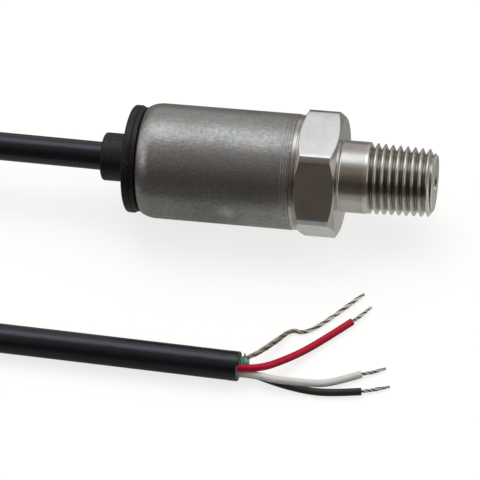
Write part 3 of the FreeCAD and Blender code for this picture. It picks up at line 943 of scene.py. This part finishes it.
wirePieces = []
for colour, route in wireRoutes.items():
    wire = addCurve(colour + "Wire", route["points"], wires["radius"], route["material"])
    placePiece(wire, colour + "_insulation", colour + "_wire")
    wire.visible_glossy = False    # the steel shows no streak of it
    inside = Vector(route["points"][-1]).lerp(Vector(route["points"][-2]),
                                              wires["hiddenShare"])
    strandPoints = [inside, Vector(route["points"][-1])] + [Vector(tip) for tip in route["tips"]]
    conductor = addStrands(colour + "Conductor", strandPoints, wires["strandRadius"], wires["layRadius"],
                           wires["twist"], [tinnedStrand, shadedStrand])
    placePiece(conductor, "tinned_copper", colour + "_conductor")
    wirePieces += [wire, conductor]

drain = addStrands("drainWire", drainPoints, wires["drainStrandRadius"], wires["drainLayRadius"],
                   wires["drainTwist"], [dullStrand, brownStrand, tinnedStrand, shadedStrand],
                   materialShare=wires["drainChange"], parting=wires["drainSpread"])
placePiece(drain, "tinned_copper", "drain_wire")
wirePieces.append(drain)

# the green core is cut short, and rings are pinched into it
green = {
    "sideways": 0.00055,
    "height": 0.00015,
    "forward": 0.0002,
    "reach": (0.0023, 0.0001, 0),
    "swells": [1, 1, 0.7, 1.02, 0.72, 1.02, 0.75, 1, 0.9],
}
greenStart = corePlace(green["sideways"], green["height"]) + tailAlong * green["forward"]
greenSteps = len(green["swells"]) - 1
greenPoints = [greenStart + Vector(green["reach"]) * k / greenSteps for k in range(greenSteps + 1)]
greenStub = addCurve("greenStub", greenPoints, wires["radius"], greenPlastic, swells=green["swells"])
placePiece(greenStub, "green_insulation", "green_wire_stub")
wirePieces.append(greenStub)


# the jacket's cut end and the clear film
jacketEnd = {
    "length": 0.0016,
    "wall": 0.0006,
    "depth": 0.0012,
    "raggedness": 0.00032,
    "raggedScale": 2.5,
    "proud": 0.00002,
    "bevel": 0.0001,
    "columns": 72,
}


def tailPoint(along, radius, angle):
    ring = tailAcross * math.cos(angle) + Vector((0, 0, math.sin(angle)))
    point = Vector(cable["tailEnd"]) + tailAlong * along + ring * radius
    point.z = max(point.z, 0)
    return point


def addJacketEnd():
    outer = cable["radius"] + jacketEnd["proud"]
    inner = cable["radius"] - jacketEnd["wall"]
    bevel = jacketEnd["bevel"]
    start = -jacketEnd["length"]
    floor = -jacketEnd["depth"]
    vertices = []
    for k in range(jacketEnd["columns"] + 1):
        angle = 2 * math.pi * k / jacketEnd["columns"]
        ring = Vector((math.cos(angle), math.sin(angle), 0))
        rim = -abs(noise.noise(ring * jacketEnd["raggedScale"])) * jacketEnd["raggedness"]
        rows = [(start, cable["radius"] - bevel), (start, outer), (rim - bevel, outer), (rim, outer - bevel),
                (rim, inner + bevel), (rim - bevel, inner), (floor, inner), (floor, 0)]
        vertices += [tailPoint(along, radius, angle) for along, radius in rows]
    faces = gridFaces(jacketEnd["columns"], len(rows))
    return addPiece("jacketEnd", vertices, faces, [jacketPlastic], smoothAngle=35)


film = {
    # along, width, height and lean of each
    "shards": ((0.0001, 0.0005, 0.0012, -0.1), (0.0006, 0.0004, 0.0008, 0.3),
               (0.0010, 0.0005, 0.0012, -0.2), (0.0015, 0.0005, 0.0009, 0.3)),
    "taper": 0.85,                 # share of the width lost at the top
    "fold": 0.35,                  # how far the middle bulges, in thicknesses
    "sideways": 0.0009,
    "leanBack": 0.9,               # sideways for each height
    "foot": 0.0005,                # above the cable's middle
    "thickness": 0.00005,
    "curl": 0.0003,
    "rows": 6,
}


def addFilm():
    # torn strips of clear film that stand up behind the green stub
    vertices = []
    faces = []
    for along, width, height, lean in film["shards"]:
        first = len(vertices)
        for k in range(film["rows"] + 1):
            share = k / film["rows"]
            half = width / 2 * (1 - film["taper"] * share * share)
            middle = along + lean * height * share
            bow = film["curl"] * math.sin(share * math.pi)
            up = Vector((0, 0, film["foot"] + height * share))
            fold = film["fold"]
            for edge, depth in ((-half, 0), (0, fold), (half, 0), (half, 1), (0, 1 + fold), (-half, 1)):
                behind = film["leanBack"] * height * share + bow + depth * film["thickness"]
                vertices.append(Vector(cable["tailEnd"]) + tailAlong * (middle + edge)
                                + tailAcross * (film["sideways"] + behind) + up)
        faces += tubeFaces(first, film["rows"] + 1, 6)
    return addPiece("clearFilmCurl", vertices, faces, [clearFilm], smoothAngle=40)


jacketRim = addJacketEnd()
placePiece(jacketRim, "cable_jacket")
filmCurl = addFilm()
placePiece(filmCurl, "clear_film", "insulation_film")

placePiece(cableJacket, "cable_jacket", "cable_lead", "cable_coil", "cable_tail")


# the pieces inside the can keep their shapes and get their finishes
innerFinishes = {
    "cable_inner_end": jacketPlastic,
    "red_inner_lead": redPlastic,
    "white_inner_lead": whitePlastic,
    "black_inner_lead": blackPlastic,
    "wire_pads": tinnedStrand,
    "cable_ferrule": makeStrandMetal("ferruleBrass", (0.78, 0.62, 0.33), (0.6, 0.44, 0.22), (0.2, 0.35)),
    "header_pins": makeStrandMetal("pinBrass", (0.85, 0.70, 0.36), (0.72, 0.56, 0.28), (0.15, 0.25)),
    "gauge_ribbons": makeStrandMetal("ribbonCopper", (0.78, 0.46, 0.30), (0.6, 0.32, 0.2), (0.2, 0.35)),
    "strain_gauges": makePlastic("gaugeSilicon", (0.10, 0.11, 0.13), (0.14, 0.15, 0.18), (0.08, 0.15), 9000.0,
                                 0.000001, coat=0.5),
    "ring_board_spacer": makePlastic("spacerPlastic", (0.45, 0.40, 0.28), (0.38, 0.33, 0.22), (0.4, 0.6),
                                     3000.0, 0.00001),
    "board_carrier": makePlastic("carrierPlastic", (0.03, 0.03, 0.032), (0.045, 0.045, 0.047), (0.45, 0.65),
                                 2500.0, 0.00002),
    "amplifier_chip": makePlastic("chipPlastic", (0.02, 0.02, 0.022), (0.028, 0.028, 0.03), (0.5, 0.65),
                                  6000.0, 0.00001),
    "ceramic_capacitors": makePlastic("capacitorCeramic", (0.55, 0.42, 0.27), (0.47, 0.35, 0.22), (0.35, 0.5),
                                      5000.0, 0.000005),
    "chip_resistors": makePlastic("resistorCeramic", (0.02, 0.02, 0.024), (0.04, 0.04, 0.045), (0.2, 0.35),
                                  5000.0, 0.000005, coat=0.3),
    "main_board": makePlastic("boardLaminate", (0.01, 0.13, 0.05), (0.02, 0.18, 0.08), (0.25, 0.4),
                              1500.0, 0.00002, coat=0.4),
}
innerFinishes["regulator_chip"] = innerFinishes["amplifier_chip"]
innerFinishes["ring_board"] = innerFinishes["main_board"]
for node, material in innerFinishes.items():
    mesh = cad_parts[node].data
    mesh.materials.clear()
    mesh.materials.append(material)
print("inside finished")


# floor, light and camera
studio = {
    "floorSize": 8.0,
    "floorDepth": -0.00002,
    "floorColour": (0.36, 0.36, 0.352),
    "paintedReflectionNear": (0.22, 0.215, 0.21),  # painted reflection: what reflections show of it under the body
    "paintedReflectionFar": (0.06, 0.055, 0.05),   # and far in front of it, darker: painted shade
    "cameraGlow": 0.77,
    "paintedReflectionGlow": (0.04, 0.42),     # of the painted glow that only reflections see, at its dimmest and under the body
    "paintedReflectionTint": (0.97, 0.968, 0.885),
    # share of that glow by X and by Y: painted shade that dims it under the can, in front of the body and
    # behind it
    "reflectionShadeAlong": ((-0.01, 0.55), (0.006, 1.0)),
    "reflectionShadeAcross": ((-0.1, 0.0), (-0.055, 0.35), (-0.01, 0.94), (0.004, 1.0), (0.018, 0.5), (0.045, 0.35)),
    "keyPower": 1.1,
    "keySize": 0.5,
    "keyPlace": (-0.25, 0.45, 0.75),
    # brightness by angle in the plane across the body: 0 the front horizon, 90 overhead, 180 the back horizon
    "skyBands": ((0, (0.08, 0.066, 0.055)), (24, (0.05, 0.040, 0.032)), (46, (0.11, 0.09, 0.075)),
                 (60, (0.20, 0.17, 0.14)), (76, (0.24, 0.21, 0.19)), (88, (0.42, 0.41, 0.40)),
                 (97, (1.05, 1.065, 1.08)), (108, (1.34, 1.38, 1.39)), (122, (1.22, 1.26, 1.27)),
                 (132, (0.68, 0.69, 0.66)), (144, (0.50, 0.48, 0.46)), (180, (0.50, 0.475, 0.45))),
    # to each side a dim lamp stands above a dark wall
    "leftReach": (0.4, 0.6),
    "leftWall": (0.10, 0.09, 0.08),
    "leftLamp": (0.85, 0.8, 0.79),
    "leftLampRise": (0.28, 0.5),
    "rightReach": (0.6, 0.8),
    "rightWall": (0.14, 0.13, 0.12),
    "rightLamp": (0.9, 0.9, 0.88),
    "rightLampRise": (0.2, 0.32),
}


def addRamp(tree, value, stops):
    # stops are places from 0 to 1, each with a colour
    ramp = addNode(tree, "ShaderNodeValToRGB", {"Fac": value})
    marks = ramp.color_ramp.elements
    while len(marks) < len(stops):
        marks.new(0.5)
    for mark, (place, colour) in zip(marks, stops):
        mark.position = place
        mark.color = (*colour, 1)
    return ramp.outputs["Color"]


def shareAlong(tree, coordinate, stops):
    # a value that runs through the stops, each a place along the coordinate and a share
    first, last = stops[0][0], stops[-1][0]
    marks = [((place - first) / (last - first), (share, share, share)) for place, share in stops]
    return addRamp(tree, addRange(tree, coordinate, (first, last)), marks)


def makeWorld():
    world = bpy.data.worlds.new("studioSky")
    scene.world = world
    world.use_nodes = True
    tree = world.node_tree
    tree.nodes.clear()
    split = splitPlace(tree, addNode(tree, "ShaderNodeTexCoord").outputs["Generated"])
    angle = addMath(tree, "ARCTAN2", split["Z"], addMath(tree, "MULTIPLY", split["Y"], -1.0))
    bands = [(degrees / 180, colour) for degrees, colour in studio["skyBands"]]
    colour = addRamp(tree, addMath(tree, "DIVIDE", angle, math.pi), bands)
    for side, along in (("left", addMath(tree, "MULTIPLY", split["X"], -1.0)), ("right", split["X"])):
        raised = softEdge(tree, split["Z"], studio[side + "LampRise"])
        wall = mixColours(tree, raised, studio[side + "Wall"], studio[side + "Lamp"])
        colour = mixColours(tree, softEdge(tree, along, studio[side + "Reach"]), colour, wall)
    sky = addNode(tree, "ShaderNodeBackground", {"Color": colour})
    white = addNode(tree, "ShaderNodeBackground", {"Color": (1, 1, 1, 1)})
    seen = addNode(tree, "ShaderNodeLightPath").outputs["Is Camera Ray"]
    chosen = addNode(tree, "ShaderNodeMixShader", {0: seen, 1: sky.outputs[0], 2: white.outputs[0]})
    addNode(tree, "ShaderNodeOutputWorld", {"Surface": chosen.outputs[0]})


def addFloor():
    half = studio["floorSize"] / 2
    depth = studio["floorDepth"]
    mesh = bpy.data.meshes.new("floor")
    corners = [(-half, -half, depth), (half, -half, depth), (half, half, depth), (-half, half, depth)]
    mesh.from_pydata(corners, [], [(0, 1, 2, 3)])
    material, tree, shader, place = startMaterial("paleFloor")
    # the floor is bright to the camera; reflections see a painted glow and colour on it, with painted shade
    # that darkens away from the body
    path = addNode(tree, "ShaderNodeLightPath").outputs
    split = splitPlace(tree, place)
    near = addMath(tree, "MULTIPLY", shareAlong(tree, split["X"], studio["reflectionShadeAlong"]),
                   shareAlong(tree, split["Y"], studio["reflectionShadeAcross"]))
    paintedReflection = mixColours(tree, near, studio["paintedReflectionFar"], studio["paintedReflectionNear"])
    mirror = path["Is Glossy Ray"]
    glow = addMath(tree, "MULTIPLY", mirror, spread(tree, near, *studio["paintedReflectionGlow"]))
    seen = addMath(tree, "MULTIPLY", path["Is Camera Ray"], studio["cameraGlow"])
    feed(tree, shader, {
        "Base Color": mixColours(tree, mirror, studio["floorColour"], paintedReflection),
        "Emission Color": mixColours(tree, mirror, (1.0, 1.0, 1.0), studio["paintedReflectionTint"]),
        "Emission Strength": addMath(tree, "ADD", seen, glow),
        "Roughness": 0.9,
        "Specular IOR Level": 0.1,
    })
    mesh.materials.append(material)
    floor = bpy.data.objects.new("floor", mesh)
    scene.collection.objects.link(floor)


def addKeyLight():
    light = bpy.data.lights.new("softKey", "AREA")
    light.size = studio["keySize"]
    light.energy = studio["keyPower"]
    lamp = bpy.data.objects.new("softKey", light)
    lamp.location = studio["keyPlace"]
    lamp.rotation_euler = (-Vector(studio["keyPlace"])).to_track_quat("-Z", "Y").to_euler()
    lamp.visible_glossy = False
    scene.collection.objects.link(lamp)


camera = {
    "place": (0.077381, -0.312061, 0.364424),
    "turn": (40.5823, 4.2855, 10.1757),    # degrees
    "lens": 187.5,
    "sensor": 36,
}


def addCamera():
    data = bpy.data.cameras.new("camera")
    data.lens = camera["lens"]
    data.sensor_width = camera["sensor"]
    data.clip_start = 0.01
    data.clip_end = 50
    body = bpy.data.objects.new("camera", data)
    body.location = camera["place"]
    body.rotation_euler = [math.radians(value) for value in camera["turn"]]
    scene.collection.objects.link(body)
    scene.camera = body


makeWorld()
addFloor()
addKeyLight()
addCamera()
scene.view_settings.view_transform = "Standard"
print("studio ready")
